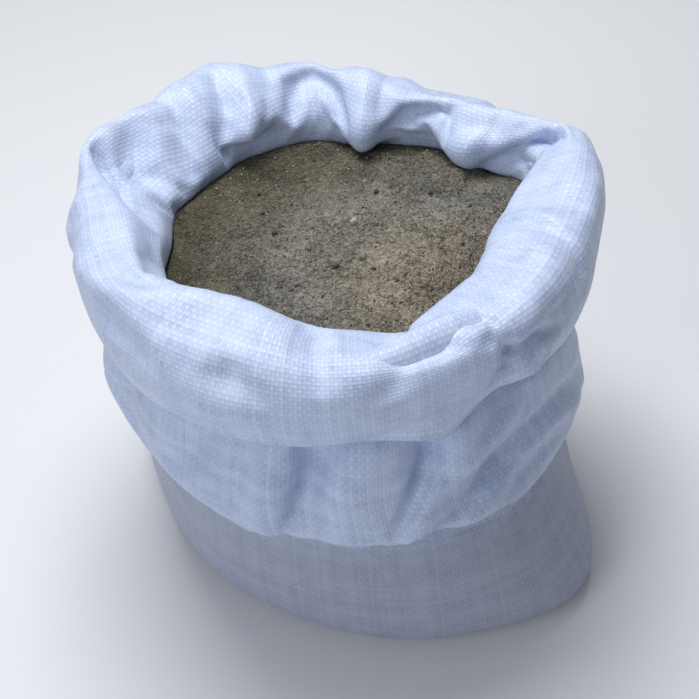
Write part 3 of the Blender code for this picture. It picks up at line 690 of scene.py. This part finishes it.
def make_stones(name, places, sizes, shades, subdivisions, rng):
    """Stones as one mesh, each with its own proportions, dents and shade, partly sunk into the sand."""
    verts, faces = unit_stone(subdivisions)
    count = len(places)
    dents = 1 + 0.13 * rng.standard_normal((count, len(verts), 1))
    shapes = verts[None] * dents * rng.uniform(0.6, 1.1, (count, 1, 3))
    stones = np.einsum("nij,nvj->nvi", random_turns(count, rng), shapes) * sizes[:, None, None] / 2
    stones += places[:, None, :] + np.array([0, 0, STONE_RISE]) * sizes[:, None, None]
    mesh = bpy.data.meshes.new(name)
    triangles = (faces[None] + len(verts) * np.arange(count)[:, None, None]).reshape(-1, 3)
    mesh.from_pydata(stones.reshape(-1, 3).tolist(), [], triangles.tolist())
    mesh.polygons.foreach_set("use_smooth", np.full(len(triangles), subdivisions > 1))
    layer = mesh.attributes.new("shade", "FLOAT", "POINT")
    layer.data.foreach_set("value", np.repeat(shades, len(verts)).astype(np.float32))
    obj = bpy.data.objects.new(name, mesh)
    bpy.context.scene.collection.objects.link(obj)
    return obj


def on_sand(places, top):
    """Puts places of a plane on the sand's top."""
    near = [int(np.argmin((top[:, 0] - x) ** 2 + (top[:, 1] - y) ** 2)) for x, y in places]
    return np.column_stack([places, top[near, 2]])


def make_pebbles(top):
    """The few pebbles that stand out, each at its place, and small ones scattered about."""
    rng = np.random.default_rng(21)
    named = np.array(PEBBLES)
    places = np.concatenate([named[:, :2], scattered(SMALL_PEBBLES, top, rng)])
    sizes = np.concatenate([named[:, 2], rng.uniform(0.0018, 0.0034, SMALL_PEBBLES)])
    shades = np.concatenate([named[:, 3], rng.uniform(0.0, 0.75, SMALL_PEBBLES)])
    return make_stones("sand_pebbles", on_sand(places, top), sizes, shades, 2, rng)


def make_grains(top):
    """Coarse grains scattered over the sand's top."""
    rng = np.random.default_rng(22)
    places = scattered(GRAINS, top, rng)
    sizes = 0.0009 + 0.0011 * rng.random(GRAINS) ** 2
    return make_stones("sand_grains", on_sand(places, top), sizes, 0.85 * rng.random(GRAINS), 1, rng)


def scattered(count, top, rng):
    """Random places over the sand's top, which is fanned out from its edge row by row."""
    rows = np.sqrt(rng.random(count)) * (SAND_ROWS - 6)
    row = SAND_ROWS - 3 - rows.astype(int)
    column = rng.integers(0, SAND_COLUMNS, count)
    grid = top.reshape(-1, SAND_COLUMNS, 3)
    return grid[row, column, :2] + rng.uniform(-0.0008, 0.0008, (count, 2))


def close_ends(mesh, columns, rows):
    """Closes the two end rows of a grid, each with one vertex in its middle."""
    bm = bmesh.new()
    bm.from_mesh(mesh)
    bm.verts.ensure_lookup_table()
    rings = [[bm.verts[first + k] for k in range(columns)] for first in (0, (rows - 1) * columns)]
    for ring, flip in zip(rings, (True, False)):
        middle = bm.verts.new(sum((v.co for v in ring), Vector()) / columns)
        for k in range(columns):
            pair = (ring[k], ring[(k + 1) % columns])
            face = bm.faces.new([*(pair[::-1] if flip else pair), middle])
            face.smooth = True
    bm.to_mesh(mesh)
    bm.free()


def plane_noise(x, y, size, seed):
    """Smooth random values at points of a plane, with cells of this size."""
    rng = np.random.default_rng(seed)
    cells = 2 + math.ceil(0.5 / size)
    table = rng.standard_normal((cells, cells))
    u, v = (x + 0.25) / size, (y + 0.25) / size
    iu, iv = np.floor(u).astype(int), np.floor(v).astype(int)
    wu, wv = cubic_weights(u - iu), cubic_weights(v - iv)
    total = np.zeros(np.shape(x))
    for i in range(4):
        for j in range(4):
            total += wu[i] * wv[j] * table[(iu + i) % cells, (iv + j) % cells]
    return total


def mounds(x, y):
    """The broad rises and hollows of the sand's top."""
    total = np.zeros(np.shape(x))
    for mound_x, mound_y, spread, rise in MOUNDS:
        total += rise * np.exp(-((x - mound_x) ** 2 + (y - mound_y) ** 2) / spread**2)
    return total


def sand_relief(x, y, rng):
    """Heights of the sand's top: broad waves, soft lumps and grain."""
    broad = mounds(x, y) + plane_noise(x, y, 0.050, 1) * 0.0012
    lumps = plane_noise(x, y, 0.018, 2) * 0.0022
    clods = np.maximum(plane_noise(x, y, 0.009, 3) - 0.25, 0) * 0.0030
    fine = plane_noise(x, y, 0.0042, 4) * 0.0009
    return broad + lumps + clods + fine


# Materials

FABRIC_STOPS = [(0.20, (0.40, 0.47, 0.66)), (0.42, (0.54, 0.63, 0.86)), (0.66, (0.66, 0.76, 0.97))]
# Painted shade below the waist: the colour is multiplied from this grey up to none across the waist line.
PAINTED_SHADE_BAND_STOPS = [(0.475, (0.66, 0.63, 0.62)), (0.51, (1.0, 1.0, 1.0))]
SAND_STOPS = [
    (0.30, (0.070, 0.064, 0.051)),
    (0.45, (0.172, 0.161, 0.135)),
    (0.57, (0.262, 0.246, 0.208)),
    (0.74, (0.430, 0.400, 0.342)),
]
# Painted shade and light on the sand, by distance from a centre: lighter near it, darker towards the fabric wall.
SAND_PAINTED_SHADE_STOPS = [
    (0.14, (1.12, 1.04, 0.93)),
    (0.34, (0.92, 0.94, 0.96)),
    (0.52, (0.66, 0.65, 0.57)),
    (0.66, (0.44, 0.42, 0.32)),
]
# The centre of the painted pool of light on the sand.
SAND_PAINTED_LIGHT_CENTRE = (0.050, -0.055, 0.262)
STONE_STOPS = [
    (0.10, (0.030, 0.026, 0.020)),
    (0.35, (0.120, 0.108, 0.085)),
    (0.65, (0.230, 0.212, 0.175)),
    (1.00, (0.480, 0.460, 0.420)),
]


def new_material(name):
    """A material with its Principled shader."""
    material = bpy.data.materials.new(name)
    material.use_nodes = True
    return material, material.node_tree, material.node_tree.nodes["Principled BSDF"]


def maths(tree, operation, a, b=None, clamp=False):
    """A Math node on two values or sockets, and its output."""
    node = tree.nodes.new("ShaderNodeMath")
    node.operation = operation
    node.use_clamp = clamp
    for slot_number, value in enumerate((a, b)):
        if value is None:
            continue
        if isinstance(value, (int, float)):
            node.inputs[slot_number].default_value = value
        else:
            tree.links.new(value, node.inputs[slot_number])
    return node.outputs[0]


def noise(tree, vector, scale, detail=2.0, roughness=0.5):
    """A Noise texture's value, read at vector."""
    node = tree.nodes.new("ShaderNodeTexNoise")
    node.inputs["Scale"].default_value = scale
    node.inputs["Detail"].default_value = detail
    node.inputs["Roughness"].default_value = roughness
    tree.links.new(vector, node.inputs["Vector"])
    return node.outputs["Fac"]


def ramp(tree, value, stops):
    """A colour ramp through (position, colour) stops."""
    node = tree.nodes.new("ShaderNodeValToRGB")
    elements = node.color_ramp.elements
    while len(elements) < len(stops):
        elements.new(0.5)
    for element, (position, colour) in zip(elements, stops):
        element.position = position
        element.color = (*colour, 1.0)
    tree.links.new(value, node.inputs["Fac"])
    return node.outputs["Color"]


def mix_colour(tree, factor, a, b, blend="MIX"):
    """Mixes two colours, each a socket or a constant."""
    node = tree.nodes.new("ShaderNodeMix")
    node.data_type = "RGBA"
    node.blend_type = blend
    for socket, value in ((node.inputs[0], factor), (node.inputs[6], a), (node.inputs[7], b)):
        if isinstance(value, (int, float)):
            socket.default_value = value
        elif isinstance(value, tuple):
            socket.default_value = (*value, 1.0)
        else:
            tree.links.new(value, socket)
    return node.outputs[2]


def weave_material(waist):
    """Plain weave of flat tapes. Below the waist, a height along the fabric, the colour is darkened as painted shade.
    """
    material, tree, shader = new_material("woven_tape")
    uv = tree.nodes.new("ShaderNodeUVMap")
    uv.uv_map = "Weave"
    split = tree.nodes.new("ShaderNodeSeparateXYZ")
    tree.links.new(uv.outputs[0], split.inputs[0])
    u = maths(tree, "DIVIDE", split.outputs[0], TAPE)
    v = maths(tree, "DIVIDE", split.outputs[1], TAPE)
    column, row = maths(tree, "FLOOR", u), maths(tree, "FLOOR", v)
    fu, fv = maths(tree, "FRACT", u), maths(tree, "FRACT", v)
    odd = maths(tree, "MODULO", maths(tree, "ADD", column, row), 2.0)
    warp, weft = tape_height(tree, fu, fv), tape_height(tree, fv, fu)
    height = maths(tree, "ADD", warp, maths(tree, "MULTIPLY", odd, maths(tree, "SUBTRACT", weft, warp)))

    coordinates = tree.nodes.new("ShaderNodeTexCoord").outputs["Object"]
    shade = maths(tree, "ADD", random_value(tree, column, 0.0), random_value(tree, row, 37.0))
    mottled = noise(tree, coordinates, 70.0, 4.0, 0.65)
    crossing = random_value(tree, maths(tree, "ADD", maths(tree, "MULTIPLY", row, 419.0), column), 5.0)
    # The tone is partly painted shade: the tapes' height makes the gaps between them darker and their crowns lighter.
    # The tape shade, the crossings and the mottling are random tone.
    tone = weighted_sum(tree, [(height, 0.14), (odd, 0.08), (shade, 0.11), (crossing, 0.03), (mottled, 0.44)])
    colour = ramp(tree, tone, FABRIC_STOPS)
    # Painted shade: the band below the waist, under the belly's overhang, is darkened in its colour.
    painted_shading = ramp(tree, maths(tree, "SUBTRACT", split.outputs[1], waist - 0.5), PAINTED_SHADE_BAND_STOPS)
    tree.links.new(mix_colour(tree, 1.0, colour, painted_shading, "MULTIPLY"), shader.inputs["Base Color"])
    gloss = maths(tree, "ADD", 0.34, maths(tree, "MULTIPLY", mottled, 0.24))
    tree.links.new(gloss, shader.inputs["Roughness"])
    shader.inputs["Sheen Weight"].default_value = 0.10
    shader.inputs["Specular IOR Level"].default_value = 0.45

    streaks = noise(tree, coordinates, 260.0, 2.0, 0.6)
    relief = weighted_sum(tree, [(height, 1.0), (streaks, 0.6), (crossing, 0.25)])
    add_bump(tree, shader, relief, 0.5, 0.00035)
    return material


def tape_height(tree, across, along):
    """A tape's height in its cell: rounded across, and bowed along as it passes over."""
    edge = maths(tree, "SINE", maths(tree, "MULTIPLY", across, math.pi))
    bow = maths(tree, "SINE", maths(tree, "MULTIPLY", along, math.pi))
    return maths(tree, "MULTIPLY", edge, maths(tree, "ADD", 0.5, maths(tree, "MULTIPLY", bow, 0.5)))


def random_value(tree, number, offset):
    """A random value of its own for each whole number."""
    node = tree.nodes.new("ShaderNodeTexWhiteNoise")
    node.noise_dimensions = "1D"
    tree.links.new(maths(tree, "ADD", number, offset), node.inputs["W"])
    return node.outputs["Value"]


def weighted_sum(tree, parts):
    """The sum of sockets, each times its weight."""
    total = None
    for socket, weight in parts:
        share = maths(tree, "MULTIPLY", socket, weight)
        total = share if total is None else maths(tree, "ADD", total, share)
    return total


def add_bump(tree, shader, relief, strength, distance):
    bump = tree.nodes.new("ShaderNodeBump")
    bump.inputs["Strength"].default_value = strength
    bump.inputs["Distance"].default_value = distance
    tree.links.new(relief, bump.inputs["Height"])
    tree.links.new(bump.outputs[0], shader.inputs["Normal"])


def grains(tree, vector, size):
    """A random value for each grain of this size."""
    node = tree.nodes.new("ShaderNodeTexVoronoi")
    node.inputs["Scale"].default_value = 1 / size
    tree.links.new(vector, node.inputs["Vector"])
    split = tree.nodes.new("ShaderNodeSeparateColor")
    tree.links.new(node.outputs["Color"], split.inputs[0])
    return split.outputs[0], node.outputs["Distance"]


def sand_material():
    """Sand: a salt and pepper of grains over soft patches, with painted shade towards the wall at the back and left
    and a painted pool of light around a point at the front right.
    """
    material, tree, shader = new_material("river_sand")
    coordinates = tree.nodes.new("ShaderNodeTexCoord").outputs["Object"]
    small, small_round = grains(tree, coordinates, 0.0010)
    large, large_round = grains(tree, coordinates, 0.0024)
    cloud = noise(tree, coordinates, 45.0, 3.0, 0.55)
    dust = noise(tree, coordinates, 1500.0, 1.0, 0.5)
    tone = weighted_sum(tree, [(small, 0.26), (large, 0.14), (cloud, 0.46), (dust, 0.14)])
    colour = ramp(tree, tone, SAND_STOPS)
    # Painted shade: darker with distance from the centre, towards the wall at the back and left, with a painted pool
    # of light near the centre.
    away = tree.nodes.new("ShaderNodeVectorMath")
    away.operation = "DISTANCE"
    tree.links.new(coordinates, away.inputs[0])
    away.inputs[1].default_value = SAND_PAINTED_LIGHT_CENTRE
    wavy = maths(tree, "MULTIPLY", maths(tree, "SUBTRACT", cloud, 0.5), 0.05)
    painted_shading = ramp(tree, maths(tree, "MULTIPLY", maths(tree, "ADD", away.outputs["Value"], wavy), 4.0), SAND_PAINTED_SHADE_STOPS)
    tree.links.new(mix_colour(tree, 1.0, colour, painted_shading, "MULTIPLY"), shader.inputs["Base Color"])
    shader.inputs["Roughness"].default_value = 0.92
    shader.inputs["Specular IOR Level"].default_value = 0.25
    relief = weighted_sum(tree, [(small_round, -1.0), (large_round, -0.8), (small, 0.5), (dust, 0.4)])
    add_bump(tree, shader, relief, 0.9, 0.0009)
    return material


def stone_material():
    """Pebbles and grains, each in its own shade from brown-black to pale quartz."""
    material, tree, shader = new_material("river_stones")
    attribute = tree.nodes.new("ShaderNodeAttribute")
    attribute.attribute_name = "shade"
    coordinates = tree.nodes.new("ShaderNodeTexCoord").outputs["Object"]
    speckle = noise(tree, coordinates, 1400.0, 3.0, 0.6)
    tone = weighted_sum(tree, [(attribute.outputs["Fac"], 0.8), (speckle, 0.3)])
    tree.links.new(ramp(tree, tone, STONE_STOPS), shader.inputs["Base Color"])
    shader.inputs["Roughness"].default_value = 0.75
    shader.inputs["Specular IOR Level"].default_value = 0.35
    add_bump(tree, shader, speckle, 0.6, 0.0003)
    return material


def thread_material():
    """Twisted white thread."""
    material, tree, shader = new_material("sewing_thread")
    coordinates = tree.nodes.new("ShaderNodeTexCoord").outputs["Object"]
    twist = noise(tree, coordinates, 1800.0, 2.0, 0.6)
    colour = ramp(tree, twist, [(0.35, (0.52, 0.53, 0.55)), (0.65, (0.80, 0.81, 0.83))])
    tree.links.new(colour, shader.inputs["Base Color"])
    shader.inputs["Roughness"].default_value = 0.7
    add_bump(tree, shader, twist, 0.6, 0.0002)
    return material


# The stage

def add_floor():
    mesh = bpy.data.meshes.new("floor")
    half = 4.0
    mesh.from_pydata([(-half, -half, 0), (half, -half, 0), (half, half, 0), (-half, half, 0)], [], [(0, 1, 2, 3)])
    floor = bpy.data.objects.new("floor", mesh)
    bpy.context.scene.collection.objects.link(floor)
    floor.location.z = -0.0003
    material, tree, shader = new_material("floor")
    shader.inputs["Base Color"].default_value = (0.84, 0.85, 0.87, 1.0)
    shader.inputs["Roughness"].default_value = 0.9
    mesh.materials.append(material)


def add_light(name, location, size, power, colour):
    """A square area light that faces the sack."""
    data = bpy.data.lights.new(name, "AREA")
    data.size = size
    data.energy = power
    data.color = colour
    light = bpy.data.objects.new(name, data)
    light.location = location
    light.rotation_mode = "QUATERNION"
    light.rotation_quaternion = (Vector((0, 0, 0.15)) - Vector(location)).to_track_quat("-Z", "Y")
    bpy.context.scene.collection.objects.link(light)


def add_world():
    world = bpy.data.worlds.new("studio")
    world.use_nodes = True
    background = world.node_tree.nodes["Background"]
    background.inputs["Color"].default_value = (0.93, 0.95, 1.0, 1.0)
    background.inputs["Strength"].default_value = 0.22
    bpy.context.scene.world = world


def add_camera():
    """The photograph's viewpoint: looking down from the front, and turned a little about its own axis."""
    elevation, roll = math.radians(CAMERA_ELEVATION), math.radians(CAMERA_ROLL)
    back = Vector((0, -math.cos(elevation), math.sin(elevation)))
    right = Vector((1, 0, 0))
    up = back.cross(right)
    right, up = right * math.cos(roll) - up * math.sin(roll), up * math.cos(roll) + right * math.sin(roll)
    data = bpy.data.cameras.new("camera")
    data.sensor_width = SENSOR
    data.lens = PHOTO_FOCAL * SENSOR / PHOTO_SIDE
    camera = bpy.data.objects.new("camera", data)
    camera.matrix_world = Matrix.Translation(Vector(CAMERA_TARGET) + back * CAMERA_DISTANCE) @ Matrix(
        (right, up, back)
    ).transposed().to_4x4()
    bpy.context.scene.collection.objects.link(camera)
    bpy.context.scene.camera = camera


def main():
    fabric, levels, points, waist = make_fabric()
    fabric.data.materials.append(weave_material(waist))
    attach(fabric, "root")
    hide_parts("woven_sack")

    stitches = make_stitches()
    stitches.data.materials.append(thread_material())
    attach(stitches, "root")
    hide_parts("bottom_seam_thread")

    sand, top = make_sand(levels, points)
    sand.data.materials.append(sand_material())
    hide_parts("river_sand")
    pebbles, grains_on_top = make_pebbles(top), make_grains(top)
    stones = stone_material()
    for piece in (pebbles, grains_on_top):
        piece.data.materials.append(stones)
    for piece in (sand, pebbles, grains_on_top):
        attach(piece, "root")

    add_floor()
    add_world()
    add_light("overhead", (-0.12, 0.35, 1.6), 0.8, 20.0, (0.97, 0.98, 1.0))
    add_light("front_left", (-1.2, -1.3, 1.2), 1.0, 10.0, (0.96, 0.98, 1.0))
    add_camera()
    bpy.context.scene.view_settings.view_transform = "Standard"


main()
